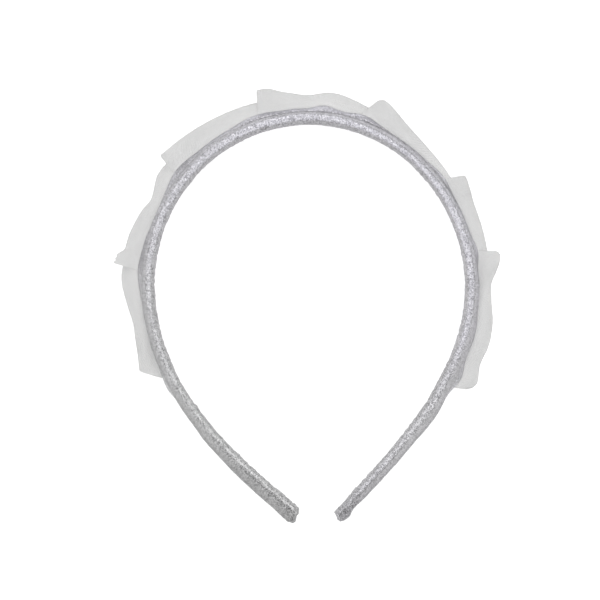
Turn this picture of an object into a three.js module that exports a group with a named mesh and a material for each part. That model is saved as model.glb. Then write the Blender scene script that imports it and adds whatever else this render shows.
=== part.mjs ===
// Crown headband: a padded hoop in silver knit, with a frill of seven net panels along its outer seam.
// It lies on its side, so the hoop's plane is level: +Y points from the tips to the crown, +X across the
// hoop, and +Z up, out of the hoop's front edge. Lengths are millimetres.
import * as THREE from 'three';

// Driving dimensions of the hoop. "along" runs on the inner edge: 0 at the crown, negative to the left.
const CROWN_Y = 56.3;
const CROWN_TILT = -0.5; // degrees
const LEFT_LENGTH = 189;
const RIGHT_LENGTH = 185.5;

// Each leg's inner edge, from the crown down, is a chain of arcs that meet in line.
const LEG_ARCS = {
  left: [
    { radius: 53.8, degrees: 41.5 },
    { radius: 58.5, degrees: 58.7 },
    { radius: 83.6, degrees: 32.8 },
    { radius: 207, degrees: 12 },
  ],
  right: [
    { radius: 54.1, degrees: 40.2 },
    { radius: 59.1, degrees: 58.3 },
    { radius: 79.7, degrees: 26.9 },
    { radius: 268, degrees: 11 },
  ],
};

// Driving dimensions of the sleeve: its depth is its height as it lies, its wall is measured outwards. Its
// inner side wavers a little off the arcs, by "inner".
const BAND_DEPTH = 10;
const EDGE_ROUND = 2.4;
const EDGE_STEPS = 4;
const REST_INSET = 1.6;
const FRONT_FLAT = 0.8;
const BAND_STEP = 3.5;
const BAND_WALL = [
  { along: -189, inner: 0.3, wall: 6.7 },
  { along: -178, inner: 0.35, wall: 6.5 },
  { along: -164, inner: 0.25, wall: 6.15 },
  { along: -150, inner: 0.15, wall: 5.65 },
  { along: -139, inner: -0.15, wall: 5.0 },
  { along: -124, inner: 0.25, wall: 4.9 },
  { along: -80, inner: 0.15, wall: 4.9 },
  { along: 0, inner: 0, wall: 4.9 },
  { along: 62, inner: 0, wall: 4.9 },
  { along: 100, inner: 0.3, wall: 4.9 },
  { along: 126, inner: -0.3, wall: 4.9 },
  { along: 135, inner: -0.05, wall: 5.75 },
  { along: 150, inner: 0.1, wall: 5.2 },
  { along: 168, inner: 0.15, wall: 5.05 },
  { along: 185.5, inner: 0, wall: 5.0 },
];

// The tips are folded in and spring outwards: "keep" is the share of the section that is left this far
// back from the end, and "flare" is how far it stands out of the leg's line.
const TIP_ROUND = [
  { back: 0, keep: 0.68, flare: 0.9 },
  { back: 0.5, keep: 0.87, flare: 0.85 },
  { back: 1.6, keep: 0.97, flare: 0.75 },
  { back: 5, keep: 1, flare: 0.4 },
  { back: 9, keep: 1, flare: 0.1 },
];

// The sleeve's seam stands up as a lip along the frill, and swells where panels lap or the cloth puckers.
const SEAM_Z = BAND_DEPTH / 2;
const LIP_THICK = 3;
const LIP_TAPER = 0.3;
const LIP_RISE = 0.05;
const GROOVE = 0.4;
const LIP_FROM = -126;
const LIP_TO = 127;
const LIP_FADE = 5;
const LIP_SWELLS = [
  { at: -125, rise: 0.8, spread: 6 },
  { at: -84, rise: 1.5, spread: 8 },
  { at: -74, rise: 0.4, spread: 4 },
  { at: -49, rise: 1.9, spread: 7 },
  { at: -34, rise: 0.7, spread: 8 },
  { at: -18, rise: 1.5, spread: 8 },
  { at: -5, rise: 0.8, spread: 4 },
  { at: 5, rise: 1.9, spread: 5 },
  { at: 17.5, rise: 1.5, spread: 6 },
  { at: 50, rise: 0.6, spread: 5 },
  { at: 77.5, rise: 1.1, spread: 4.5 },
  { at: 105, rise: 1.2, spread: 9 },
  { at: 120.5, rise: 1.7, spread: 5 },
];

// Driving dimensions of the net panels. A panel starts in front of the one before it and ends behind
// the next, and its free edge leans to the front at its start and to the back at its end.
const PANEL_THICK = 1;
const PANEL_GAP = 0.3;
const PANEL_STEPS = 18;
const PANEL_LEVELS = 4;
const LAP = 0.9;
const LEAN_FRONT = 1.8;
const LEAN_BACK = 2.4;
const RIPPLE = 0.7;
const RIPPLES = 1.5;

// One table for each panel, clockwise from the lower left. It is sewn in between "from" and "to", and
// each row is a corner or fold of its free edge: its place along and its reach out from the inner edge.
const PANELS = [
  {
    from: -121.6,
    to: -84.3,
    edge: [
      { along: -116.5, reach: 12.2 },
      { along: -112, reach: 10.8 },
      { along: -106, reach: 9.9 },
      { along: -101, reach: 9.5 },
      { along: -95, reach: 10.6 },
      { along: -88, reach: 12.2 },
      { along: -83.4, reach: 12.0 },
    ],
  },
  {
    from: -84.4,
    to: -50.4,
    edge: [
      { along: -83.1, reach: 15.3 },
      { along: -80, reach: 14.4 },
      { along: -77.5, reach: 12.1 },
      { along: -73, reach: 11.8 },
      { along: -66, reach: 10.3 },
      { along: -61, reach: 9.0 },
      { along: -54, reach: 11.4 },
      { along: -49.6, reach: 11.3 },
    ],
  },
  {
    from: -50.5,
    to: -17.1,
    edge: [
      { along: -49, reach: 14.8 },
      { along: -44, reach: 13.9 },
      { along: -30, reach: 12.1 },
      { along: -16.3, reach: 11.0 },
    ],
  },
  {
    from: -17.2,
    to: 16.5,
    edge: [
      { along: -15.5, reach: 15.2 },
      { along: -12, reach: 14.6 },
      { along: -8, reach: 12.6 },
      { along: -1, reach: 10.9 },
      { along: 6.5, reach: 12.2 },
      { along: 14, reach: 10.9 },
      { along: 18.1, reach: 10.0 },
    ],
  },
  {
    from: 16.4,
    to: 51.3,
    edge: [
      { along: 20.4, reach: 14.7 },
      { along: 23.5, reach: 13.9 },
      { along: 31, reach: 10.6 },
      { along: 40, reach: 8.7 },
      { along: 52, reach: 7.8 },
    ],
  },
  {
    from: 51.2,
    to: 77.3,
    edge: [
      { along: 53.9, reach: 12.5 },
      { along: 59, reach: 11.1 },
      { along: 63, reach: 10.2 },
      { along: 70, reach: 9.8 },
      { along: 77.9, reach: 9.5 },
    ],
  },
  {
    from: 77.2,
    to: 124.2,
    edge: [
      { along: 78.6, reach: 13.8 },
      { along: 81.5, reach: 13.3 },
      { along: 85, reach: 11.4 },
      { along: 88.5, reach: 9.7 },
      { along: 94, reach: 10.1 },
      { along: 100, reach: 11.5 },
      { along: 107, reach: 12.0 },
      { along: 114, reach: 11.2 },
      { along: 119.5, reach: 12.7 },
      { along: 122.5, reach: 11.2 },
    ],
  },
];

const SILVER_KNIT = new THREE.MeshStandardMaterial({ color: 0xbcc0c6, roughness: 0.45, metalness: 0.5 });
const GREY_NET = new THREE.MeshStandardMaterial({
  color: 0xc9c9c8,
  roughness: 0.8,
  metalness: 0,
  transparent: true,
  opacity: 0.5,
});

const { degToRad, lerp, smoothstep } = THREE.MathUtils;

// The inner edge's point and its outward direction at a place along it.
function innerEdge(along) {
  const side = along < 0 ? -1 : 1;
  const arcs = along < 0 ? LEG_ARCS.left : LEG_ARCS.right;
  const point = new THREE.Vector2(0, CROWN_Y);
  let heading = side * degToRad(CROWN_TILT);
  let left = Math.abs(along);
  for (const { radius, degrees } of arcs) {
    const turn = Math.min(degToRad(degrees), left / radius);
    point.x += side * radius * (Math.sin(heading) - Math.sin(heading - turn));
    point.y += radius * (Math.cos(heading - turn) - Math.cos(heading));
    heading -= turn;
    left -= turn * radius;
  }
  return { point, outward: new THREE.Vector2(-side * Math.sin(heading), Math.cos(heading)) };
}

// A point of the headband from its place along the hoop, its reach out from the inner edge and its height.
function onHoop(along, reach, z) {
  const { point, outward } = innerEdge(along);
  return new THREE.Vector3(point.x + reach * outward.x, point.y + reach * outward.y, z);
}

// The sleeve's inner waver and its wall at a place along.
function bandWall(along) {
  const next = BAND_WALL.findIndex((row) => row.along >= along);
  if (next < 1) return BAND_WALL.at(next);
  const [a, b] = [BAND_WALL[next - 1], BAND_WALL[next]];
  const share = smoothstep(along, a.along, b.along);
  return { inner: lerp(a.inner, b.inner, share), wall: lerp(a.wall, b.wall, share) };
}

// How much of the seam's lip is there: all of it along the frill, none of it on the bare legs.
function lipShare(along) {
  const fadeIn = smoothstep(along, LIP_FROM - LIP_FADE, LIP_FROM);
  const fadeOut = 1 - smoothstep(along, LIP_TO, LIP_TO + LIP_FADE);
  return fadeIn * fadeOut;
}

function lipRise(along) {
  const swell = ({ at, rise, spread }) => rise * Math.exp(-(((along - at) / spread) ** 2));
  const rise = LIP_SWELLS.reduce((sum, row) => sum + swell(row), LIP_RISE);
  return rise * lipShare(along);
}

// Points of a quarter turn about (reach, z), anticlockwise from an angle in degrees.
function quarterTurn(reach, z, reachRadius, zRadius, fromDegrees) {
  return Array.from({ length: EDGE_STEPS + 1 }, (_, step) => {
    const angle = degToRad(fromDegrees + (90 * step) / EDGE_STEPS);
    return new THREE.Vector2(reach + reachRadius * Math.cos(angle), z + zRadius * Math.sin(angle));
  });
}

// The sleeve's section, anticlockwise in reach and height: flat below where it rests, flat on the inner
// face, round at the edges, with the lip between two grooves on the outer side.
function bandSection(along) {
  const { inner, wall } = bandWall(along);
  const crest = wall + lipRise(along);
  const groove = wall - GROOVE * lipShare(along);
  const half = LIP_THICK / 2;
  const top = BAND_DEPTH - EDGE_ROUND;
  const frontInset = (wall - FRONT_FLAT) / 2;
  const lip = [
    [wall, SEAM_Z - half - GROOVE],
    [groove, SEAM_Z - half],
    [crest, SEAM_Z - half + LIP_TAPER],
    [crest, SEAM_Z + half - LIP_TAPER],
    [groove, SEAM_Z + half],
    [wall, SEAM_Z + half + GROOVE],
  ].map(([reach, z]) => new THREE.Vector2(reach, z));
  const section = [
    ...quarterTurn(wall - REST_INSET, EDGE_ROUND, REST_INSET, EDGE_ROUND, -90),
    ...lip,
    ...quarterTurn(wall - frontInset, top, frontInset, EDGE_ROUND, 0),
    ...quarterTurn(frontInset, top, frontInset, EDGE_ROUND, 90),
    ...quarterTurn(REST_INSET, EDGE_ROUND, REST_INSET, EDGE_ROUND, 180),
  ];
  for (const point of section) point.x += inner * Math.max(0, 1 - point.x / wall);
  return section;
}

// The places along the hoop where the sleeve has a section, with how the tips shape it there.
function bandStations() {
  const tips = TIP_ROUND.at(-1).back;
  const [from, to] = [-LEFT_LENGTH + tips, RIGHT_LENGTH - tips];
  const steps = Math.round((to - from) / BAND_STEP);
  const between = Array.from({ length: steps - 1 }, (_, i) => ({
    along: lerp(from, to, (i + 1) / steps),
    keep: 1,
    flare: 0,
  }));
  return [
    ...TIP_ROUND.map((row) => ({ ...row, along: -LEFT_LENGTH + row.back })),
    ...between,
    ...TIP_ROUND.map((row) => ({ ...row, along: RIGHT_LENGTH - row.back })).reverse(),
  ];
}

// A closed geometry from rings of points: quads between the rings and a cap on each end ring.
function loft(rings, outline) {
  const count = outline.length;
  const faces = [];
  for (let ring = 0; ring < rings.length - 1; ring += 1) {
    for (let i = 0; i < count; i += 1) {
      const [a, b] = [ring * count + i, ring * count + ((i + 1) % count)];
      faces.push(a, b, b + count, a, b + count, a + count);
    }
  }
  const last = (rings.length - 1) * count;
  for (const [a, b, c] of THREE.ShapeUtils.triangulateShape(outline, [])) {
    faces.push(a, c, b, last + a, last + b, last + c);
  }
  const geometry = new THREE.BufferGeometry().setFromPoints(rings.flat());
  geometry.setIndex(faces);
  geometry.computeVertexNormals();
  return geometry;
}

function bandGeometry() {
  const rings = bandStations().map(({ along, keep, flare }) => {
    const centre = new THREE.Vector2(bandWall(along).wall / 2, SEAM_Z);
    return bandSection(along).map((point) => {
      const kept = centre.clone().lerp(point, keep);
      return onHoop(along, kept.x + flare, kept.y);
    });
  });
  return loft(rings, bandSection(-LEFT_LENGTH));
}

// The middle surface of a panel: u runs along it from its start, v from the seam to its free edge.
function panelSurface({ from, to, edge }) {
  const rim = new THREE.SplineCurve(edge.map(({ along, reach }) => new THREE.Vector2(along, reach)));
  return (u, v) => {
    const free = rim.getPoint(u);
    const sewn = lerp(from, to, u);
    const along = lerp(sewn, free.x, v);
    const root = bandWall(sewn).wall + lipRise(sewn) + PANEL_GAP;
    const lap = lerp(LAP, -LAP, u);
    const ripple = RIPPLE * Math.sin(2 * Math.PI * RIPPLES * u);
    const lean = lerp(LEAN_FRONT, -LEAN_BACK, u) + ripple;
    return onHoop(along, lerp(root, free.y, v), SEAM_Z + lap + lean * v ** 2);
  };
}

// A panel as a wall: rings round its front and back, one for each step along it.
function panelGeometry(panel) {
  const middle = panelSurface(panel);
  const half = new THREE.Vector3(0, 0, PANEL_THICK / 2);
  const levels = Array.from({ length: PANEL_LEVELS + 1 }, (_, i) => i / PANEL_LEVELS);
  const rings = Array.from({ length: PANEL_STEPS + 1 }, (_, i) => {
    const line = levels.map((v) => middle(i / PANEL_STEPS, v));
    const back = line.map((point) => point.clone().sub(half));
    const front = line.map((point) => point.clone().add(half));
    return [...back, ...front.reverse()];
  });
  const outline = [
    ...levels.map((v) => new THREE.Vector2(v, -1)),
    ...levels.map((v) => new THREE.Vector2(v, 1)).reverse(),
  ];
  return loft(rings, outline);
}

function namedMesh(name, geometry, material) {
  const mesh = new THREE.Mesh(geometry, material);
  mesh.name = name;
  return mesh;
}

const laid = new THREE.Group();
laid.add(namedMesh('band', bandGeometry(), SILVER_KNIT));
PANELS.forEach((panel, i) => laid.add(namedMesh(`tulle_panel_${i + 1}`, panelGeometry(panel), GREY_NET)));

// The origin is on the surface it lies on, under the middle of its footprint.
const footprint = new THREE.Box3().setFromObject(laid);
const centre = footprint.getCenter(new THREE.Vector3());
laid.position.set(-centre.x, -centre.y, -footprint.min.z);

const crownHeadband = new THREE.Group();
crownHeadband.name = 'crown_headband';
crownHeadband.add(laid);

export default crownHeadband;
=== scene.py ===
import math

import bpy
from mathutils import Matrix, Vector, noise


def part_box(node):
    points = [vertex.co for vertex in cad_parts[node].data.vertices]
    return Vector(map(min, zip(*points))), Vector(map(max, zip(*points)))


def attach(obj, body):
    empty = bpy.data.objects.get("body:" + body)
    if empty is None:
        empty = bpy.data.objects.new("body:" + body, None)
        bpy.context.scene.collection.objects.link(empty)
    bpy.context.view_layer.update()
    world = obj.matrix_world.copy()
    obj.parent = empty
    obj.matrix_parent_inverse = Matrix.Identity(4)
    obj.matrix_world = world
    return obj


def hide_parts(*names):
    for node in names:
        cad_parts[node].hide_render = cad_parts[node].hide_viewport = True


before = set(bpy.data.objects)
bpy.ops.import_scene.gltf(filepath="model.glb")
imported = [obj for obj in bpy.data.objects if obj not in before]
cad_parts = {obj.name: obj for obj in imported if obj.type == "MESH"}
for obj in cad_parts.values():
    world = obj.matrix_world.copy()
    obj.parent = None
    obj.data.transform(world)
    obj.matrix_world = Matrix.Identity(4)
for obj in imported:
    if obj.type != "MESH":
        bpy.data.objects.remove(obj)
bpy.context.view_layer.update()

# Silver sleeve
# A strip of fine metallic knit, wrapped round a padded springy blank and closed by one seam. The seam's
# two plies stand up as a lip along the outer edge, with a slit between them that holds the net panels.
# Its ends are turned in and stitched shut at the tips. Sizes are millimetres, placed in metres by MM.
MM = 0.001
CROWN_X, CROWN_Y = 1.307, 65.024
CROWN_TILT = math.radians(-0.5)
LEFT_LENGTH, RIGHT_LENGTH = 189.0, 185.5
LEG_ARCS = {
    "left": [
        {"radius": 53.8, "degrees": 41.5},
        {"radius": 58.5, "degrees": 58.7},
        {"radius": 83.6, "degrees": 32.8},
        {"radius": 207.0, "degrees": 12.0},
    ],
    "right": [
        {"radius": 54.1, "degrees": 40.2},
        {"radius": 59.1, "degrees": 58.3},
        {"radius": 79.7, "degrees": 26.9},
        {"radius": 268.0, "degrees": 11.0},
    ],
}
# The outer side is a wall's width off the arcs, and the inner side wavers a little from them.
SLEEVE_WALL = [
    {"along": -189.0, "inner": 0.3, "wall": 6.7},
    {"along": -178.0, "inner": 0.35, "wall": 6.5},
    {"along": -164.0, "inner": 0.25, "wall": 6.15},
    {"along": -150.0, "inner": 0.15, "wall": 5.65},
    {"along": -139.0, "inner": -0.15, "wall": 5.0},
    {"along": -124.0, "inner": 0.25, "wall": 4.9},
    {"along": -80.0, "inner": 0.15, "wall": 4.9},
    {"along": 0.0, "inner": 0.0, "wall": 4.9},
    {"along": 62.0, "inner": 0.0, "wall": 4.9},
    {"along": 100.0, "inner": 0.3, "wall": 4.9},
    {"along": 126.0, "inner": -0.3, "wall": 4.9},
    {"along": 135.0, "inner": -0.05, "wall": 5.75},
    {"along": 150.0, "inner": 0.1, "wall": 5.2},
    {"along": 168.0, "inner": 0.15, "wall": 5.05},
    {"along": 185.5, "inner": 0.0, "wall": 5.0},
]
LIP_RISE, LIP_FROM, LIP_TO, LIP_FADE = 0.05, -126.0, 127.0, 5.0
LIP_SWELLS = [
    {"at": -125.0, "rise": 0.8, "spread": 6.0},
    {"at": -84.0, "rise": 1.5, "spread": 8.0},
    {"at": -74.0, "rise": 0.4, "spread": 4.0},
    {"at": -49.0, "rise": 1.95, "spread": 8.4},
    {"at": -34.0, "rise": 0.7, "spread": 8.0},
    {"at": -17.5, "rise": 1.7, "spread": 9.2},
    {"at": -5.0, "rise": 0.8, "spread": 4.0},
    {"at": 4.5, "rise": 2.2, "spread": 5.2},
    {"at": 17.5, "rise": 1.85, "spread": 6.3},
    {"at": 50.0, "rise": 0.9, "spread": 5.0},
    {"at": 77.5, "rise": 1.1, "spread": 4.5},
    {"at": 105.0, "rise": 1.2, "spread": 9.0},
    {"at": 120.5, "rise": 1.7, "spread": 5.0},
]
# Lines along the sleeve, as shares of its wall: the crease off the inner edge, the crest where the padding
# is fullest and the fold where its light side ends. "brim" is how far the padding hangs over the lip and
# "full" its height past the fold.
FOLDS = [
    {"along": -170.0, "crease": 0.16, "crest": 0.26, "fold": 0.345, "brim": 0.0, "full": 4.2},
    {"along": -142.0, "crease": 0.17, "crest": 0.28, "fold": 0.40, "brim": 0.0, "full": 4.5},
    {"along": -103.0, "crease": 0.30, "crest": 0.45, "fold": 0.60, "brim": 0.3, "full": 4.6},
    {"along": -65.0, "crease": 0.24, "crest": 0.60, "fold": 0.78, "brim": 0.1, "full": 4.4},
    {"along": -34.0, "crease": 0.265, "crest": 0.56, "fold": 0.77, "brim": 0.0, "full": 4.3},
    {"along": 2.0, "crease": 0.30, "crest": 0.59, "fold": 0.79, "brim": 0.0, "full": 4.2},
    {"along": 36.0, "crease": 0.24, "crest": 0.38, "fold": 0.58, "brim": -0.2, "full": 4.2},
    {"along": 65.0, "crease": 0.20, "crest": 0.36, "fold": 0.68, "brim": -0.2, "full": 4.3},
    {"along": 102.0, "crease": 0.26, "crest": 0.50, "fold": 0.70, "brim": 0.7, "full": 4.55},
    {"along": 142.0, "crease": 0.165, "crest": 0.31, "fold": 0.52, "brim": 0.0, "full": 4.5},
    {"along": 170.0, "crease": 0.22, "crest": 0.34, "fold": 0.49, "brim": 0.0, "full": 4.25},
]
# How the knit is painted for light and how it has worn: the painted highlight on the crest and past the fold;
# the bare thread rubbed through past the fold, partly painted shade that darkens the lower legs; and the
# painted shade in the groove at the brink of the seam and on the inner rim. "fleck" is how far foil and bare
# thread show side by side.
PAINTED_LIGHT_AND_WEAR = [
    {"along": -170.0, "crest": 1.35, "outer": 0.05, "rubbed": 0.5, "brink": 0.0, "rim": 0.6, "fleck": 0.5},
    {"along": -142.0, "crest": 1.04, "outer": 0.08, "rubbed": 0.25, "brink": 0.0, "rim": 0.68, "fleck": 0.5},
    {"along": -103.0, "crest": 0.98, "outer": 0.12, "rubbed": 0.0, "brink": 0.1, "rim": 0.45, "fleck": 0.35},
    {"along": -65.0, "crest": 0.86, "outer": 0.35, "rubbed": 0.1, "brink": 0.6, "rim": 0.53, "fleck": 0.3},
    {"along": -34.0, "crest": 0.98, "outer": 0.33, "rubbed": 0.0, "brink": 0.5, "rim": 0.53, "fleck": 0.2},
    {"along": -18.0, "crest": 0.96, "outer": 0.3, "rubbed": 0.05, "brink": 1.1, "rim": 0.53, "fleck": 0.18},
    {"along": 2.0, "crest": 0.93, "outer": 0.28, "rubbed": 0.1, "brink": 1.1, "rim": 0.53, "fleck": 0.15},
    {"along": 36.0, "crest": 1.02, "outer": 0.3, "rubbed": 0.2, "brink": 0.9, "rim": 0.55, "fleck": 0.2},
    {"along": 65.0, "crest": 1.15, "outer": 0.4, "rubbed": 0.15, "brink": 0.8, "rim": 0.5, "fleck": 0.25},
    {"along": 102.0, "crest": 0.86, "outer": 0.12, "rubbed": 0.1, "brink": 0.1, "rim": 0.32, "fleck": 0.3},
    {"along": 142.0, "crest": 0.83, "outer": 0.12, "rubbed": 0.15, "brink": 0.0, "rim": 0.55, "fleck": 0.4},
    {"along": 170.0, "crest": 0.92, "outer": 0.1, "rubbed": 0.35, "brink": 0.0, "rim": 0.57, "fleck": 0.4},
]
# A lavender cast of the light, painted into the knit: full at the crown and weakest on the left leg, where
# the colour is washed out and a little darker.
LIGHT_CAST = [
    {"along": -142.0, "painted_cast": 0.1},
    {"along": -103.0, "painted_cast": 0.4},
    {"along": -65.0, "painted_cast": 0.8},
    {"along": 0.0, "painted_cast": 1.0},
    {"along": 100.0, "painted_cast": 0.95},
    {"along": 142.0, "painted_cast": 0.5},
    {"along": 170.0, "painted_cast": 0.7},
]
# Half of the section, from the slit over the front edge to the middle of the inner face. "up" is the height
# over the seam, "loose" how freely the knit puckers there, then the painted highlight, where its foil would
# catch the light, and the share of bare thread and painted shade that the table of painted light and wear
# gives there; at the root and groove that is painted shade. The seam's rows are its floor, slit, mouth, lip,
# face, root and groove. They reach out from the wall, by a share of the lip's rise and an offset.
SEAM_SECTION = [
    {"lip": 1.0, "out": -4.6, "up": 0.0, "loose": 0.0, "painted_shine": 0.0, "bare": 0.0, "steps": 1},
    {"lip": 1.0, "out": -4.4, "up": 0.2, "loose": 0.0, "painted_shine": 0.0, "bare": 0.0, "steps": 2},
    {"lip": 1.0, "out": -0.25, "up": 0.22, "loose": 0.0, "painted_shine": 0.8, "bare": 0.0, "steps": 2},
    {"lip": 1.0, "out": -0.3, "up": 1.1, "loose": 0.5, "painted_shine": 0.9, "bare": 0.1, "steps": 2},
    {"lip": 0.65, "out": -0.3, "up": 2.1, "loose": 0.9, "painted_shine": 0.9, "bare": 0.1, "steps": 3},
    {"lip": 0.1, "out": -0.3, "up": 2.4, "loose": 0.7, "painted_shine": 0.6, "bare": 0.9, "steps": 2},
    {"lip": 0.0, "out": -0.4, "up": 2.7, "loose": 0.3, "painted_shine": 0.2, "bare": 1.0, "steps": 2},
]
# On the bare legs the slit is sewn shut, to these shares of its depth and width. The lip's painted highlight
# is full near the crown and fainter towards the legs.
SHUT_DEEP, SHUT_WIDE = 0.12, 0.3
LIP_LEG_HIGHLIGHT, CROWN_SPREAD = 0.5, 38.0
# What the material reads at each point of the sleeve.
FINISH = ("painted_shine", "bare", "fleck", "painted_cast")
# The padded rows reach a share of the way from one line along the sleeve to another. Those past the fold
# go from it to the brim, and drop from its full height.
# The padded rows past the fold carry painted highlight, and at the brim their bare share paints the shade
# over the groove.
OUTER_SECTION = [
    {"share": 1.0, "drop": 1.1, "painted_shine": 0.4, "bare": 0.9, "fleck": 0.1, "steps": 3},
    {"share": 0.85, "drop": 0.3, "painted_shine": 0.8, "bare": 0.5, "fleck": 0.1, "steps": 3},
    {"share": 0.5, "drop": 0.0, "painted_shine": 1.0, "bare": 0.0, "fleck": 0.05, "steps": 3},
    {"share": 0.15, "drop": -0.1, "painted_shine": 1.0, "bare": 0.0, "fleck": 0.5, "steps": 2},
]
SPANS = {"pad": ("fold", "crest"), "swell": ("crease", "crest"), "rim": ("edge", "crease")}
# The inner rows carry painted highlight over the crest and painted shade on the crease and the inner rim.
INNER_SECTION = [
    {"span": "pad", "share": 0.0, "up": 4.8, "painted_shine": 0.7, "bare": 0.35, "fleck": 0.9, "steps": 4},
    {"span": "pad", "share": 1.0, "up": 5.0, "painted_shine": 1.0, "bare": 0.25, "fleck": 0.4, "steps": 5},
    {"span": "swell", "share": 0.2, "up": 4.8, "painted_shine": 1.0, "bare": 0.35, "fleck": 0.65, "steps": 2},
    {"span": "swell", "share": 0.0, "up": 4.35, "painted_shine": 0.3, "bare": 1.2, "fleck": 0.9, "steps": 3},
    {"span": "rim", "share": 0.14, "up": 2.3, "painted_shine": 0.0, "bare": 1.0, "fleck": 0.1, "steps": 4},
    {"span": "rim", "share": 0.0, "up": 1.2, "painted_shine": 0.0, "bare": 0.5, "fleck": 0.0, "steps": 3},
    {"span": "rim", "share": 0.04, "up": 0.0, "painted_shine": 0.0, "bare": 0.2, "fleck": 0.0, "steps": 0},
]
# Puckers in the knit: how far each kind lifts it off the padding, its length along the sleeve, how many go
# round it, and where they are.
PUCKERS = [
    {"lift": 0.16, "length": 9.0, "round": 3, "where": "all", "seed": 0.0},
    {"lift": 0.07, "length": 2.2, "round": 14, "where": "all", "seed": 7.0},
    {"lift": 0.15, "length": 1.7, "round": 2, "where": "seam", "seed": 13.0},
    {"lift": 0.2, "length": 3.5, "round": 5, "where": "inside", "seed": 21.0},
    {"lift": 0.36, "length": 1.3, "round": 4, "where": "inside", "seed": 29.0},
    {"lift": 0.3, "length": 1.6, "round": 9, "where": "tips", "seed": 37.0},
]
# Those of the seam and of the inside fade over a share of the way round, and the crown is the smoothest.
PUCKER_SPREAD, CROWN_CALM = 0.2, 0.65
# The mesh's step along the sleeve, the weld that closes its ends and the slit's floor, and the width that
# the flat strip of knit is measured over.
STATION_STEP, WELD, STRIP_WIDE = 0.5, 0.004, 50.0
# Lengths back from a tip: where it rounds off, where its outline is lobed, where it flares out, where it
# is worn, and its rubbed end. The rub shows on top, between two heights over the seam.
TIP_ROUND, TIP_SHAPED, FLARE_LENGTH, WORN_LENGTH, END_LENGTH = 1.8, 6.0, 11.0, 18.0, 3.0
# On the worn tips the painted highlight drops to the first of these and the bare thread rises to the second.
TIP_PAINTED_SHINE, TIP_BARE = 0.35, 1.0
WORN_FROM, WORN_FULL = 3.2, 4.2
# The turned-in tips: how far they reach past their end line, across the wall from its inner edge, the
# crease that runs into them, where the stitching pinches them in, how far they flare out, and where the
# foil has worn off.
TIPS = {
    "left": {
        "lobes": [
            {"across": 0.0, "past": -1.0},
            {"across": 0.08, "past": -0.5},
            {"across": 0.3, "past": 0.2},
            {"across": 0.45, "past": 0.0},
            {"across": 0.58, "past": 0.5},
            {"across": 0.78, "past": 0.9},
            {"across": 0.9, "past": 0.5},
            {"across": 1.0, "past": -1.0},
        ],
        "crease": {"across": 0.6, "width": 0.07, "depth": 0.5, "length": 8.0},
        "pinch": {"back": 7.0, "spread": 3.0, "inner": 0.0, "outer": 0.0},
        "flare": 0.6,
        "worn": {"across": 0.48, "width": 0.2},
    },
    "right": {
        "lobes": [
            {"across": 0.0, "past": -0.3},
            {"across": 0.15, "past": -0.2},
            {"across": 0.35, "past": 0.1},
            {"across": 0.55, "past": 0.6},
            {"across": 0.8, "past": 0.4},
            {"across": 0.94, "past": -0.8},
            {"across": 1.0, "past": -2.0},
        ],
        "crease": {"across": 0.3, "width": 0.08, "depth": 0.6, "length": 6.0},
        "pinch": {"back": 6.5, "spread": 2.8, "inner": 0.3, "outer": 0.4},
        "flare": 0.9,
        "worn": {"across": 0.6, "width": 0.5},
    },
}

seam_z = (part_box("band")[0][2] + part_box("band")[1][2]) / 2 / MM


def ease(value, low, high):
    """Goes from 0 at low to 1 at high, level at both ends."""
    share = min(1.0, max(0.0, (value - low) / (high - low)))
    return share * share * (3 - 2 * share)


def from_rows(rows, key, value, at):
    """The value column of a table at a place in its key column, eased from row to row."""
    if at <= rows[0][key]:
        return rows[0][value]
    for low, high in zip(rows, rows[1:]):
        if at <= high[key]:
            return low[value] + (high[value] - low[value]) * ease(at, low[key], high[key])
    return rows[-1][value]


def inner_edge(along):
    """The inner edge's point and its outward direction, this far along from the crown."""
    side = -1 if along < 0 else 1
    x, y, left, heading = CROWN_X, CROWN_Y, abs(along), side * CROWN_TILT
    for arc in LEG_ARCS["left" if along < 0 else "right"]:
        turn = min(math.radians(arc["degrees"]), left / arc["radius"])
        x += side * arc["radius"] * (math.sin(heading) - math.sin(heading - turn))
        y += arc["radius"] * (math.cos(heading - turn) - math.cos(heading))
        heading -= turn
        left -= turn * arc["radius"]
    tail = left * Vector((side * math.cos(heading), math.sin(heading)))
    return Vector((x, y)) + tail, Vector((-side * math.sin(heading), math.cos(heading)))


def on_hoop(along, reach, height):
    """A point in metres from its place along the hoop, its reach from the inner edge and its height."""
    point, outward = inner_edge(along)
    place = point + reach * outward
    return Vector((place.x, place.y, height)) * MM


def lip_share(along):
    return ease(along, LIP_FROM - LIP_FADE, LIP_FROM) * (1 - ease(along, LIP_TO, LIP_TO + LIP_FADE))


def lip_rise(along):
    swells = sum(s["rise"] * math.exp(-(((along - s["at"]) / s["spread"]) ** 2)) for s in LIP_SWELLS)
    return (LIP_RISE + swells) * lip_share(along)


def curve_point(rows, i, t):
    """A point t of the way from row i to the next one, on a smooth curve through all the rows."""
    a, b = rows[max(i - 1, 0)], rows[i]
    c, d = rows[i + 1], rows[min(i + 2, len(rows) - 1)]
    bend = (2 * a - 5 * b + 4 * c - d) * t**2 + (3 * b - a - 3 * c + d) * t**3
    return 0.5 * (2 * b + (c - a) * t + bend)


def smooth_through(rows, steps):
    """Points on a smooth curve through the rows, with so many steps from each row to the next."""
    points = []
    for i, count in enumerate(steps[:-1]):
        points += [curve_point(rows, i, step / count) for step in range(count)]
    return points + [rows[-1]]


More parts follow.
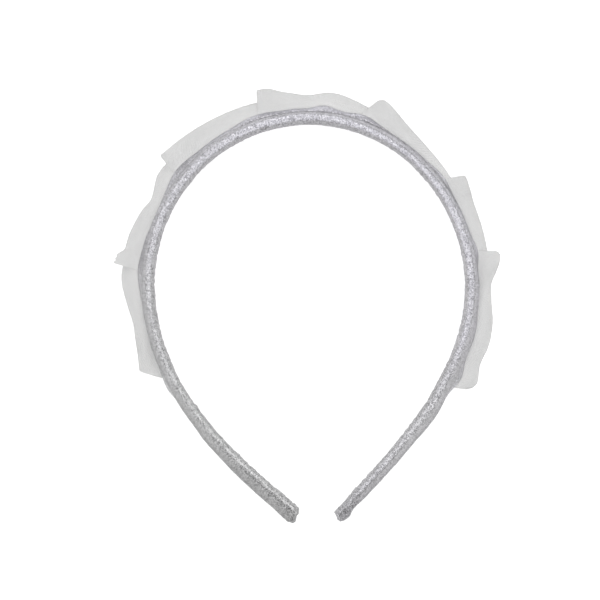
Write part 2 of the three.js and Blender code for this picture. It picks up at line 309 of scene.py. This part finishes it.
def half_section(along):
    """The front half of the section, as points of reach, up, loose, painted highlight, bare thread with
    painted shade, and fleck.
    """
    wall, lip, share = from_rows(SLEEVE_WALL, "along", "wall", along), lip_rise(along), lip_share(along)
    # How much of the lip's painted highlight is left: all of it at the crown, less towards the legs.
    lip_highlight = LIP_LEG_HIGHLIGHT + (1 - LIP_LEG_HIGHLIGHT) * math.exp(-((along / CROWN_SPREAD) ** 2))
    folds = {name: from_rows(FOLDS, "along", name, along) for name in FOLDS[0]}
    light_and_wear = {name: from_rows(PAINTED_LIGHT_AND_WEAR, "along", name, along) for name in PAINTED_LIGHT_AND_WEAR[0]}
    rows = []
    for row in SEAM_SECTION:
        reach = wall + row["lip"] * lip + row["out"] * (SHUT_DEEP + (1 - SHUT_DEEP) * share)
        up = row["up"] * (SHUT_WIDE + (1 - SHUT_WIDE) * share)
        # The lip's painted highlight, and the painted shade at the brink of the seam.
        painted_shine, bare = row["painted_shine"] * share * lip_highlight, row["bare"] * light_and_wear["brink"]
        rows.append(Vector((reach, up, row["loose"], painted_shine, bare, 0.0)))
    lines = {name: folds[name] * wall for name in ("crease", "crest", "fold")}
    lines |= {"edge": 0.0, "brim": wall + folds["brim"] * share}
    for row in OUTER_SECTION:
        reach = lines["fold"] + (lines["brim"] - lines["fold"]) * row["share"]
        up, fleck = folds["full"] - row["drop"], row["fleck"] * light_and_wear["fleck"]
        # Past the fold: painted highlight, bare thread that is also painted shade down the legs, and painted
        # shade at the brink.
        painted_shine, bare = row["painted_shine"] * light_and_wear["outer"], light_and_wear["rubbed"] + row["bare"] * light_and_wear["brink"]
        rows.append(Vector((reach, up, 1.0, painted_shine, bare, fleck)))
    for row in INNER_SECTION:
        near, far = (lines[name] for name in SPANS[row["span"]])
        # Painted highlight on the crest, painted shade on the crease and the inner rim.
        painted_shine, bare = row["painted_shine"] * light_and_wear["crest"], row["bare"] * light_and_wear["rim"]
        reach, fleck = near + (far - near) * row["share"], row["fleck"] * light_and_wear["fleck"]
        rows.append(Vector((reach, row["up"], 1.0, painted_shine, bare, fleck)))
    return smooth_through(rows, [row["steps"] for row in SEAM_SECTION + OUTER_SECTION + INNER_SECTION])


def pucker(along, girth, worn):
    """How far the knit stands off the padding, at a place along and a share of the way round."""
    calm = 1 - CROWN_CALM * math.exp(-((along / CROWN_SPREAD) ** 2))
    weights = {
        "all": 1.0,
        "seam": math.exp(-((min(girth, 1 - girth) / PUCKER_SPREAD) ** 2)),
        "inside": calm * math.exp(-(((girth - 0.5) / PUCKER_SPREAD) ** 2)),
        "tips": worn,
    }
    lift = 0.0
    for row in PUCKERS:
        place = Vector((along / row["length"], girth * row["round"], row["seed"]))
        lift += row["lift"] * weights[row["where"]] * noise.noise(place)
    return lift


def sleeve_ring(along):
    """The whole section at a place along, as (along, reach, height, then FINISH), with the tips closed."""
    side = "left" if along < 0 else "right"
    tip = TIPS[side]
    end = LEFT_LENGTH if along < 0 else RIGHT_LENGTH
    back = max(0.0, end - abs(along))
    front = half_section(along)
    wall, inner = (from_rows(SLEEVE_WALL, "along", key, along) for key in ("wall", "inner"))
    # The painted lavender cast of the light.
    painted_cast = from_rows(LIGHT_CAST, "along", "painted_cast", along)
    depth = math.sqrt(max(0.0, 1 - (1 - min(1.0, back / TIP_ROUND)) ** 2))
    flare = tip["flare"] * (1 - ease(back, 0, FLARE_LENGTH))
    worn, ended = 1 - ease(back, 0, WORN_LENGTH), 1 - ease(back, 0, END_LENGTH)
    creased = tip["crease"]["depth"] * (1 - ease(back, 0, tip["crease"]["length"]))
    pinched = math.exp(-(((back - tip["pinch"]["back"]) / tip["pinch"]["spread"]) ** 2))
    ring = [tuple(p) for p in front] + [(p[0], -p[1], *p[2:]) for p in reversed(front[:-1])]
    shaped = []
    for i, (reach, up, loose, painted_shine, bare, fleck) in enumerate(ring):
        before, after = ring[max(i - 1, 0)], ring[min(i + 1, len(ring) - 1)]
        normal = Vector((before[1] - after[1], after[0] - before[0])).normalized()
        girth = i / (len(ring) - 1)
        across = min(1.0, max(0.0, reach / wall))
        lift = pucker(along, girth, worn)
        lift -= creased * math.exp(-(((across - tip["crease"]["across"]) / tip["crease"]["width"]) ** 2))
        lift *= depth * max(0.0, loose)
        reach, up = reach + lift * normal.x, up + lift * normal.y
        reach += inner * (1 - across)
        reach += pinched * (tip["pinch"]["inner"] * (1 - across) - tip["pinch"]["outer"] * across)
        past = from_rows(tip["lobes"], "across", "past", across) * (1 - ease(back, 0, TIP_SHAPED))
        place = along + (past if side == "right" else -past)
        height = max(0.0, seam_z + up * depth)
        off = (across - tip["worn"]["across"]) / tip["worn"]["width"]
        rubbed = worn * ease(abs(up), WORN_FROM, WORN_FULL) * max(math.exp(-(off**2)), ended)
        painted_shine += rubbed * (TIP_PAINTED_SHINE - painted_shine)
        bare += rubbed * (TIP_BARE - bare)
        finish = (max(0.0, value) for value in (painted_shine, bare, fleck, painted_cast))
        shaped.append((place, reach + flare, height, *finish))
    return shaped


bpy.ops.object.select_all(action="DESELECT")
girth_steps = len(sleeve_ring(0.0)) - 1
stations = round((LEFT_LENGTH + RIGHT_LENGTH) / STATION_STEP)
bpy.ops.mesh.primitive_grid_add(x_subdivisions=stations, y_subdivisions=girth_steps, size=1)
sleeve = bpy.context.object
sleeve.name = "silver_sleeve"
# The end faces fold flat where the tips close, so they are split one way round before that.
bpy.ops.object.mode_set(mode="EDIT")
bpy.ops.mesh.select_mode(type="FACE")
bpy.ops.mesh.select_all(action="DESELECT")
bpy.ops.object.mode_set(mode="OBJECT")
for face in sleeve.data.polygons:
    face.select = abs(face.center.x) > 0.5 - 1 / stations
bpy.ops.object.mode_set(mode="EDIT")
bpy.ops.mesh.quads_convert_to_tris(quad_method="FIXED")
bpy.ops.object.mode_set(mode="OBJECT")
rings = {}
for name in FINISH:
    sleeve.data.attributes.new(name, "FLOAT", "POINT")
for vertex in sleeve.data.vertices:
    station = round((vertex.co.x + 0.5) * stations)
    if station not in rings:
        rings[station] = sleeve_ring(-LEFT_LENGTH + (LEFT_LENGTH + RIGHT_LENGTH) * station / stations)
    along, reach, height, *finish = rings[station][round((vertex.co.y + 0.5) * girth_steps)]
    vertex.co = on_hoop(along, reach, height)
    for name, value in zip(FINISH, finish):
        sleeve.data.attributes[name].data[vertex.index].value = value
# The knit is a strip laid flat, with the inner face's middle half way over it.
cloth_rows = {}
for station, ring in rings.items():
    lengths = [math.dist(before[:3], after[:3]) for before, after in zip(ring, ring[1:])]
    middle = sum(lengths[: girth_steps // 2])
    cloth_rows[station] = [0.5 + (sum(lengths[:row]) - middle) / STRIP_WIDE for row in range(girth_steps + 1)]
for corner in sleeve.data.uv_layers["UVMap"].data:
    station, row = round(corner.uv.x * stations), round(corner.uv.y * girth_steps)
    corner.uv = (corner.uv.x, cloth_rows[station][row])
bpy.ops.object.mode_set(mode="EDIT")
bpy.ops.mesh.select_all(action="SELECT")
bpy.ops.mesh.remove_doubles(threshold=WELD * MM)
bpy.ops.mesh.normals_make_consistent(inside=False)
bpy.ops.object.mode_set(mode="OBJECT")
bpy.ops.object.shade_smooth()


def add_node(tree, kind, values=(), sources=(), **settings):
    """A shader node with settings, plain values on some inputs and links from others' outputs."""
    node = tree.nodes.new("ShaderNode" + kind)
    for name, value in settings.items():
        setattr(node, name, value)
    for socket, value in dict(values).items():
        node.inputs[socket].default_value = value
    for socket, source in dict(sources).items():
        tree.links.new(source, node.inputs[socket])
    return node


def shade_ramp(tree, source, stops):
    """A colour ramp over a value, from one (place, colour) stop to the other."""
    ramp = add_node(tree, "ValToRGB", sources={"Fac": source})
    for element, (place, colour) in zip(ramp.color_ramp.elements, stops):
        element.position, element.color = place, (*colour, 1)
    return ramp.outputs["Color"]


# Colours of the knit over its grain, from dark to light, as (place, colour) stops: a shaded and a lit copy of
# the knit, which the painted highlight mixes; the dark thread of bare cloth and painted shade; flecks;
# painted glints; and the pits' dark. Loops and grits are counted to the millimetre.
SHADED_KNIT = [(0.1, (0.383, 0.379, 0.392)), (0.8, (0.53, 0.522, 0.545))]
LIT_KNIT = [(0.1, (0.36, 0.354, 0.385)), (0.8, (0.77, 0.76, 0.83))]
THREAD_AND_SHADE = [(0.1, (0.07, 0.067, 0.077)), (0.8, (0.408, 0.4, 0.423))]
FLECKS = [(0.2, (0.02, 0.02, 0.024)), (0.65, (0.9, 0.895, 0.92))]
GLINT_PAINT = [(0.3, (0.89, 0.88, 0.94)), (0.7, (0.96, 0.95, 0.99))]
PIT = (0.14, 0.135, 0.145, 1)
LOOPS_ALONG, LOOPS_ACROSS, GRITS = 2.1, 1.9, 2.8
knit = bpy.data.materials.new("silver_knit")
knit.use_nodes = True
tree = knit.node_tree
shader = tree.nodes["Principled BSDF"]
shader.inputs["Metallic"].default_value = 0.6
strip = add_node(tree, "UVMap", uv_map="UVMap")
lay = add_node(
    tree,
    "Mapping",
    {"Scale": (LEFT_LENGTH + RIGHT_LENGTH, STRIP_WIDE, 1.0)},
    {"Vector": strip.outputs["UV"]},
).outputs["Vector"]
ribs = add_node(tree, "Mapping", {"Scale": (LOOPS_ALONG, LOOPS_ACROSS, 1.0)}, {"Vector": lay})
loops = add_node(
    tree,
    "TexVoronoi",
    {"Scale": 1.0, "Randomness": 0.55},
    {"Vector": ribs.outputs["Vector"]},
)
loop_chance = add_node(tree, "SeparateColor", sources={"Color": loops.outputs["Color"]})
dot = add_node(
    tree,
    "MapRange",
    {"From Min": 0.28, "From Max": 0.5, "To Min": 1.0, "To Max": 0.0},
    {"Value": loops.outputs["Distance"]},
    interpolation_type="SMOOTHSTEP",
).outputs["Result"]
grit = add_node(tree, "TexVoronoi", {"Scale": GRITS}, {"Vector": lay})
grit_chance = add_node(tree, "SeparateColor", sources={"Color": grit.outputs["Color"]})
drawn = add_node(tree, "Mapping", {"Scale": (1.0, 0.3, 1.0)}, {"Vector": lay})
streaks = add_node(tree, "TexNoise", {"Scale": 1.1, "Detail": 3.0}, {"Vector": drawn.outputs["Vector"]})
# What the sleeve carries: the painted highlight, the bare thread with painted shade, and the flecks.
painted_shine = add_node(tree, "Attribute", attribute_name="painted_shine").outputs["Fac"]
bare = add_node(tree, "Attribute", attribute_name="bare").outputs["Fac"]
fleck = add_node(tree, "Attribute", attribute_name="fleck").outputs["Fac"]
rough = add_node(
    tree,
    "Mix",
    {"Factor": 0.12},
    {"A": grit_chance.outputs["Green"], "B": streaks.outputs["Fac"]},
).outputs["Result"]
grain = add_node(tree, "Mix", {"Factor": 0.25}, {"A": rough, "B": dot}).outputs["Result"]
# The knit's shaded copy and its lit copy, mixed by the painted highlight.
shaded_knit = shade_ramp(tree, grain, SHADED_KNIT)
lit_knit = shade_ramp(tree, grain, LIT_KNIT)
cloth = add_node(
    tree,
    "Mix",
    sources={"Factor": painted_shine, "A": shaded_knit, "B": lit_knit},
    data_type="RGBA",
).outputs["Result"]
# How far the knit darkens towards thread: partly bare thread, partly painted shade.
bare_and_shade_share = add_node(
    tree,
    "MapRange",
    {"From Min": 0.2, "From Max": 1.0, "To Max": 0.8},
    {"Value": bare},
)
thread_and_shade = shade_ramp(tree, grain, THREAD_AND_SHADE)
bare_and_shaded_cloth = add_node(
    tree,
    "Mix",
    sources={"Factor": bare_and_shade_share.outputs["Result"], "A": cloth, "B": thread_and_shade},
    data_type="RGBA",
).outputs["Result"]
# Dark pits come where the knit darkens, so they deepen the painted shade too.
pit_odds = add_node(
    tree,
    "Math",
    {1: -0.16},
    {0: bare_and_shade_share.outputs["Result"], 2: loop_chance.outputs["Green"]},
    operation="MULTIPLY_ADD",
)
pits = add_node(
    tree,
    "MapRange",
    {"From Min": -0.05, "From Max": 0.01, "To Min": 0.8, "To Max": 0.0},
    {"Value": pit_odds.outputs["Value"]},
).outputs["Result"]
pitted = add_node(
    tree,
    "Mix",
    {"B": PIT},
    {"Factor": pits, "A": bare_and_shaded_cloth},
    data_type="RGBA",
).outputs["Result"]
flecks = shade_ramp(tree, grain, FLECKS)
flecked = add_node(
    tree,
    "Mix",
    sources={"Factor": fleck, "A": pitted, "B": flecks},
    data_type="RGBA",
).outputs["Result"]
# Painted glints: near-white dots on the loops, thickest where the painted highlight is strong.
clusters = add_node(
    tree,
    "Math",
    {1: 0.08},
    {0: streaks.outputs["Fac"], 2: loop_chance.outputs["Red"]},
    operation="MULTIPLY_ADD",
).outputs["Value"]
odds = add_node(tree, "Math", {1: 0.9}, {0: painted_shine, 2: clusters}, operation="MULTIPLY_ADD")
lit = add_node(tree, "MapRange", {"From Min": 1.22, "From Max": 1.38}, {"Value": odds.outputs["Value"]})
glint = add_node(
    tree,
    "Math",
    sources={0: dot, 1: lit.outputs["Result"]},
    operation="MULTIPLY",
).outputs["Value"]
glint_colour = shade_ramp(tree, grain, GLINT_PAINT)
tone = add_node(tree, "Mix", sources={"Factor": glint, "A": flecked, "B": glint_colour}, data_type="RGBA")
# The painted lavender cast of the light, a little darker where it is weaker.
painted_cast = add_node(tree, "Attribute", attribute_name="painted_cast").outputs["Fac"]
cast_value = add_node(tree, "MapRange", {"To Min": 0.92, "To Max": 1.0}, {"Value": painted_cast}).outputs["Result"]
cast_colour = add_node(
    tree,
    "HueSaturation",
    sources={"Saturation": painted_cast, "Value": cast_value, "Color": tone.outputs["Result"]},
)
tree.links.new(cast_colour.outputs["Color"], shader.inputs["Base Color"])
gloss = add_node(tree, "MapRange", {"To Min": 0.48, "To Max": 0.25}, {"Value": glint})
tree.links.new(gloss.outputs["Result"], shader.inputs["Roughness"])
loop_bump = add_node(
    tree,
    "Bump",
    {"Strength": 0.35, "Distance": 0.15 * MM},
    {"Height": loops.outputs["Distance"]},
    invert=True,
)
crease_bump = add_node(
    tree,
    "Bump",
    {"Strength": 0.3, "Distance": 0.4 * MM},
    {"Height": streaks.outputs["Fac"], "Normal": loop_bump.outputs["Normal"]},
)
tree.links.new(crease_bump.outputs["Normal"], shader.inputs["Normal"])
sleeve.data.materials.append(knit)

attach(sleeve, "root")
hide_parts("band")

# Net panels
# Seven pieces of fine grey tulle, cut straight across and sewn into the seam one after the other. Each
# starts in front of the one before it and ends behind the next, and its free edge is left raw. It is painted
# paler by the seam, a painted light against the shade that the sleeve casts there.
CELL, NET_THICK = 0.5, 0.12
# The seam allowance in the slit, and how far over the lip the net is painted paler.
TUCK, LIGHTENED_HIGH = 4.2, 5.0
# The cut edge is a thread wide, and its line wavers.
CUT_EDGE, CUT_WAVER, WAVER_LENGTH, NICK_WIDE = 0.3, 0.12, 1.1, 0.45
STEP_ALONG, STEPS_UP, SAMPLES = 0.45, 26, 60
UV_SPAN = 50.0
SHARP = math.radians(40)
# A panel starts a lap to the front and ends one to the back, in full from half way up. It leans the same
# way, with ripples and a flutter.
LAP, LAP_IN_SLIT, LAP_FULL = 0.9, 0.1, 0.5
LEAN_FRONT, LEAN_BACK = 1.8, 2.4
RIPPLE, RIPPLES = 0.7, 1.5
FLUTTER, FLUTTER_LENGTH = 0.5, 6.0
# Each panel is sewn from one place along the hoop to another. Its free edge runs through the rows, with
# rounded or nicked corners.
PANELS = [
    {
        "start_round": 0.7,
        "from": -121.6,
        "to": -84.3,
        "edge": [
            {"along": -116.5, "reach": 12.2},
            {"along": -112.0, "reach": 10.8},
            {"along": -106.0, "reach": 9.9},
            {"along": -101.0, "reach": 9.5},
            {"along": -95.0, "reach": 10.6},
            {"along": -88.0, "reach": 12.2},
            {"along": -83.4, "reach": 12.0},
        ],
    },
    {
        "start_round": 0.5,
        "from": -84.4,
        "to": -50.4,
        "edge": [
            {"along": -82.9, "reach": 15.5},
            {"along": -80.4, "reach": 14.7},
            {"along": -78.3, "reach": 12.2},
            {"along": -74.0, "reach": 11.8},
            {"along": -66.0, "reach": 10.3},
            {"along": -61.0, "reach": 9.0},
            {"along": -54.0, "reach": 11.4},
            {"along": -49.6, "reach": 11.3},
        ],
        "nicks": [{"along": -81.95, "deep": 0.8}, {"along": -80.95, "deep": 0.7}],
    },
    {
        "start_round": 0.6,
        "from": -50.5,
        "to": -17.1,
        "edge": [
            {"along": -49.0, "reach": 14.8},
            {"along": -44.0, "reach": 13.9},
            {"along": -30.0, "reach": 12.1},
            {"along": -16.3, "reach": 11.0},
        ],
    },
    {
        "start_round": 0.4,
        "from": -17.2,
        "to": 16.5,
        "edge": [
            {"along": -15.5, "reach": 15.2},
            {"along": -12.0, "reach": 14.6},
            {"along": -8.0, "reach": 12.6},
            {"along": -1.0, "reach": 10.9},
            {"along": 6.5, "reach": 12.2},
            {"along": 14.0, "reach": 10.9},
            {"along": 18.1, "reach": 10.0},
        ],
    },
    {
        "start_round": 1.5,
        "from": 16.4,
        "to": 51.3,
        "edge": [
            {"along": 20.4, "reach": 14.7},
            {"along": 23.5, "reach": 13.9},
            {"along": 31.0, "reach": 10.6},
            {"along": 40.0, "reach": 8.7},
            {"along": 52.0, "reach": 7.8},
        ],
    },
    {
        "start_round": 0.8,
        "from": 51.2,
        "to": 77.3,
        "edge": [
            {"along": 53.9, "reach": 12.5},
            {"along": 59.0, "reach": 11.1},
            {"along": 63.0, "reach": 10.2},
            {"along": 70.0, "reach": 9.8},
            {"along": 77.9, "reach": 9.5},
        ],
    },
    {
        "start_round": 1.4,
        "end_round": 1.3,
        "from": 77.2,
        "to": 124.2,
        "edge": [
            {"along": 78.6, "reach": 13.8},
            {"along": 81.5, "reach": 13.3},
            {"along": 85.0, "reach": 11.4},
            {"along": 88.5, "reach": 9.7},
            {"along": 94.0, "reach": 10.1},
            {"along": 100.0, "reach": 11.5},
            {"along": 107.0, "reach": 12.0},
            {"along": 114.0, "reach": 11.2},
            {"along": 119.5, "reach": 12.7},
            {"along": 122.5, "reach": 11.2},
        ],
    },
]


def free_edge(edge, u):
    """The free edge's (along, reach) at a share of its rows, on a smooth curve through them."""
    at = u * (len(edge) - 1)
    i = min(int(at), len(edge) - 2)
    rows = [Vector((row["along"], row["reach"])) for row in edge]
    return curve_point(rows, i, at - i)


def panel_root(panel, u):
    """Where a panel leaves the lip, at u along it: its place along the hoop and its reach."""
    sewn = panel["from"] + (panel["to"] - panel["from"]) * u
    return sewn, from_rows(SLEEVE_WALL, "along", "wall", sewn) + lip_rise(sewn)


def panel_height(panel, u):
    return free_edge(panel["edge"], u).y - panel_root(panel, u)[1]


def panel_point(panel, u, rise, number):
    """A point of a panel: u along it, and the rise over the lip, which is below 0 in the slit."""
    sewn, root = panel_root(panel, u)
    free = free_edge(panel["edge"], u)
    out = max(0.0, rise / (free.y - root))
    lap = (1 - 2 * u) * (LAP_IN_SLIT + (LAP - LAP_IN_SLIT) * ease(out, 0, LAP_FULL))
    ripple = RIPPLE * math.sin(2 * math.pi * RIPPLES * u)
    flutter = FLUTTER * noise.noise(Vector((sewn / FLUTTER_LENGTH, number, 3.0)))
    lean = LEAN_FRONT - (LEAN_FRONT + LEAN_BACK) * u + ripple + flutter
    along = sewn + (free.x - sewn) * out
    return on_hoop(along, root + rise, seam_z + lap + lean * out**2)


def cut_height(panel, u, long, number):
    """The height of the cut net at u along it, with its waver, rounded corners and nicks."""
    at = free_edge(panel["edge"], u).x
    waver = CUT_WAVER * noise.noise(Vector((u * long / WAVER_LENGTH, number, 5.0)))
    high = panel_height(panel, u) + waver + TUCK
    for radius, corner in ((panel["start_round"], 0), (panel.get("end_round", 0.0), -1)):
        short = max(0.0, radius - abs(at - panel["edge"][corner]["along"]))
        high -= radius - math.sqrt(radius**2 - short**2)
    for nick in panel.get("nicks", ()):
        high -= nick["deep"] * max(0.0, 1 - abs(at - nick["along"]) / NICK_WIDE)
    return high


# The net's mottled greys, and the paler one painted by the seam against the shade the sleeve casts there.
NET_GREYS = [(0.2, (0.61, 0.61, 0.61)), (0.8, (0.68, 0.68, 0.675))]
SEAM_LIGHTENING = (0.755, 0.755, 0.75, 1)
net = bpy.data.materials.new("grey_net")
net.use_nodes = True
tree = net.node_tree
shader = tree.nodes["Principled BSDF"]
shader.inputs["Roughness"].default_value = 0.6
strip = add_node(tree, "UVMap", uv_map="UVMap")
lay = add_node(
    tree,
    "Mapping",
    {"Scale": (UV_SPAN, UV_SPAN, 1.0)},
    {"Vector": strip.outputs["UV"]},
).outputs["Vector"]
wave = 4 * math.pi / (math.sqrt(3) * CELL)
swings = []
for turn in (0, math.pi / 3, 2 * math.pi / 3):
    way = add_node(tree, "VectorMath", sources={0: lay}, operation="DOT_PRODUCT")
    way.inputs[1].default_value = (wave * math.cos(turn), wave * math.sin(turn), 0)
    swing = add_node(tree, "Math", sources={0: way.outputs["Value"]}, operation="COSINE")
    swings.append(swing.outputs["Value"])
pair = add_node(tree, "Math", sources={0: swings[0], 1: swings[1]}, operation="ADD")
cells = add_node(tree, "Math", sources={0: pair.outputs["Value"], 1: swings[2]}, operation="ADD")
threads = add_node(
    tree,
    "MapRange",
    {"From Min": -0.2, "From Max": 1.0, "To Min": 0.92, "To Max": 0.25},
    {"Value": cells.outputs["Value"]},
    interpolation_type="SMOOTHSTEP",
)
at_edge = add_node(tree, "Attribute", attribute_name="cut_edge")
edge_thread = add_node(
    tree,
    "MapRange",
    {"From Min": 0.35, "From Max": 0.8, "To Max": 0.75},
    {"Value": at_edge.outputs["Fac"]},
)
either = add_node(
    tree,
    "Math",
    sources={0: threads.outputs["Result"], 1: edge_thread.outputs["Result"]},
    operation="MAXIMUM",
)
tree.links.new(either.outputs["Value"], shader.inputs["Alpha"])
mottle = add_node(tree, "TexNoise", {"Scale": 0.8}, {"Vector": lay})
colour = shade_ramp(tree, mottle.outputs["Fac"], NET_GREYS)
net_height = add_node(tree, "SeparateXYZ", sources={"Vector": lay}).outputs["Y"]
# Painted light: the net is paler near the seam, where the sleeve's shade would fall.
lightened_by_seam = add_node(
    tree,
    "MapRange",
    {"From Min": TUCK, "From Max": TUCK + LIGHTENED_HIGH, "To Min": 1.0, "To Max": 0.0},
    {"Value": net_height},
    interpolation_type="SMOOTHSTEP",
).outputs["Result"]
paler = add_node(
    tree,
    "Mix",
    {"B": SEAM_LIGHTENING},
    {"Factor": lightened_by_seam, "A": colour},
    data_type="RGBA",
).outputs["Result"]
tree.links.new(paler, shader.inputs["Base Color"])

for number, panel in enumerate(PANELS, 1):
    sewn_line = [panel_point(panel, i / SAMPLES, 0, number) for i in range(SAMPLES + 1)]
    long = sum((after - before).length / MM for before, after in zip(sewn_line, sewn_line[1:]))
    steps = round(long / STEP_ALONG)
    bpy.ops.object.select_all(action="DESELECT")
    bpy.ops.mesh.primitive_grid_add(x_subdivisions=steps, y_subdivisions=STEPS_UP, size=1)
    piece = bpy.context.object
    piece.name = f"net_panel_{number}"
    laid_flat = []
    cut_edge = piece.data.attributes.new("cut_edge", "FLOAT", "POINT")
    for vertex in piece.data.vertices:
        column, row = round((vertex.co.x + 0.5) * steps), round((vertex.co.y + 0.5) * STEPS_UP)
        u = min(max(column - 1, 0) / (steps - 2), 1.0) * (1 - 2 * CUT_EDGE / long) + CUT_EDGE / long
        u = 0.0 if column == 0 else 1.0 if column == steps else u
        high = cut_height(panel, u, long, number)
        rise = high if row == STEPS_UP else (high - CUT_EDGE) * row / (STEPS_UP - 1)
        cut_edge.data[vertex.index].value = float(column in (0, steps) or row == STEPS_UP)
        laid_flat.append((u * long / UV_SPAN, rise / UV_SPAN))
        vertex.co = panel_point(panel, u, rise - TUCK, number)
    for loop, corner in zip(piece.data.loops, piece.data.uv_layers["UVMap"].data):
        corner.uv = laid_flat[loop.vertex_index]
    body = piece.modifiers.new("body", "SOLIDIFY")
    body.thickness = NET_THICK * MM
    body.offset = 0
    bpy.ops.object.modifier_apply(modifier=body.name)
    bpy.ops.object.shade_smooth_by_angle(angle=SHARP)
    piece.data.materials.append(net)
    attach(piece, "root")
    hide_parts(f"tulle_panel_{number}")

# Floor, light and camera
# A plain pale sweep under the headband, soft light from behind the crown and from above, and the camera
# straight over the hoop, as far off as for a picture of a small thing.
VIEW_WIDTH = 216.0
VIEW_CENTRE = (-2.47, 2.061)
CAMERA_OFF = 2400.0
SENSOR = 36.0
LAMP_PLACE, LAMP_SIZE, LAMP_POWER = (0.0, 0.75, 0.9), 0.7, 1.2
FLOOR_SIZE, FLOOR_GLOW, SKY_STRENGTH = 12.0, 0.55, 1.25
bpy.ops.object.select_all(action="DESELECT")
bpy.ops.mesh.primitive_plane_add(size=FLOOR_SIZE)
floor = bpy.context.object
floor.name = "floor"
paper = bpy.data.materials.new("pale_floor")
paper.use_nodes = True
shader = paper.node_tree.nodes["Principled BSDF"]
shader.inputs["Base Color"].default_value = (0.85, 0.85, 0.85, 1)
shader.inputs["Roughness"].default_value = 0.9
shader.inputs["Specular IOR Level"].default_value = 0.1
shader.inputs["Emission Color"].default_value = (1, 1, 1, 1)
shader.inputs["Emission Strength"].default_value = FLOOR_GLOW
floor.data.materials.append(paper)

world = bpy.data.worlds.new("studio")
bpy.context.scene.world = world
world.use_nodes = True
tree = world.node_tree
toward = add_node(tree, "TexCoord").outputs["Generated"]
upward = add_node(tree, "SeparateXYZ", sources={"Vector": toward}).outputs["Z"]
sky = shade_ramp(tree, upward, [(0.0, (0.2, 0.2, 0.2)), (1.0, (1.0, 1.0, 1.0))])
tree.links.new(sky, tree.nodes["Background"].inputs["Color"])
tree.nodes["Background"].inputs["Strength"].default_value = SKY_STRENGTH

bpy.ops.object.light_add(type="AREA", location=LAMP_PLACE)
lamp = bpy.context.object
lamp.name = "key"
lamp.data.size = LAMP_SIZE
lamp.data.energy = LAMP_POWER
lamp.rotation_euler = (-Vector(LAMP_PLACE)).to_track_quat("-Z", "Y").to_euler()

bpy.ops.object.camera_add(location=(VIEW_CENTRE[0] * MM, VIEW_CENTRE[1] * MM, (CAMERA_OFF + seam_z) * MM))
camera = bpy.context.object
camera.data.sensor_width = SENSOR
camera.data.lens = SENSOR * CAMERA_OFF / VIEW_WIDTH
bpy.context.scene.camera = camera
bpy.context.scene.view_settings.view_transform = "Standard"
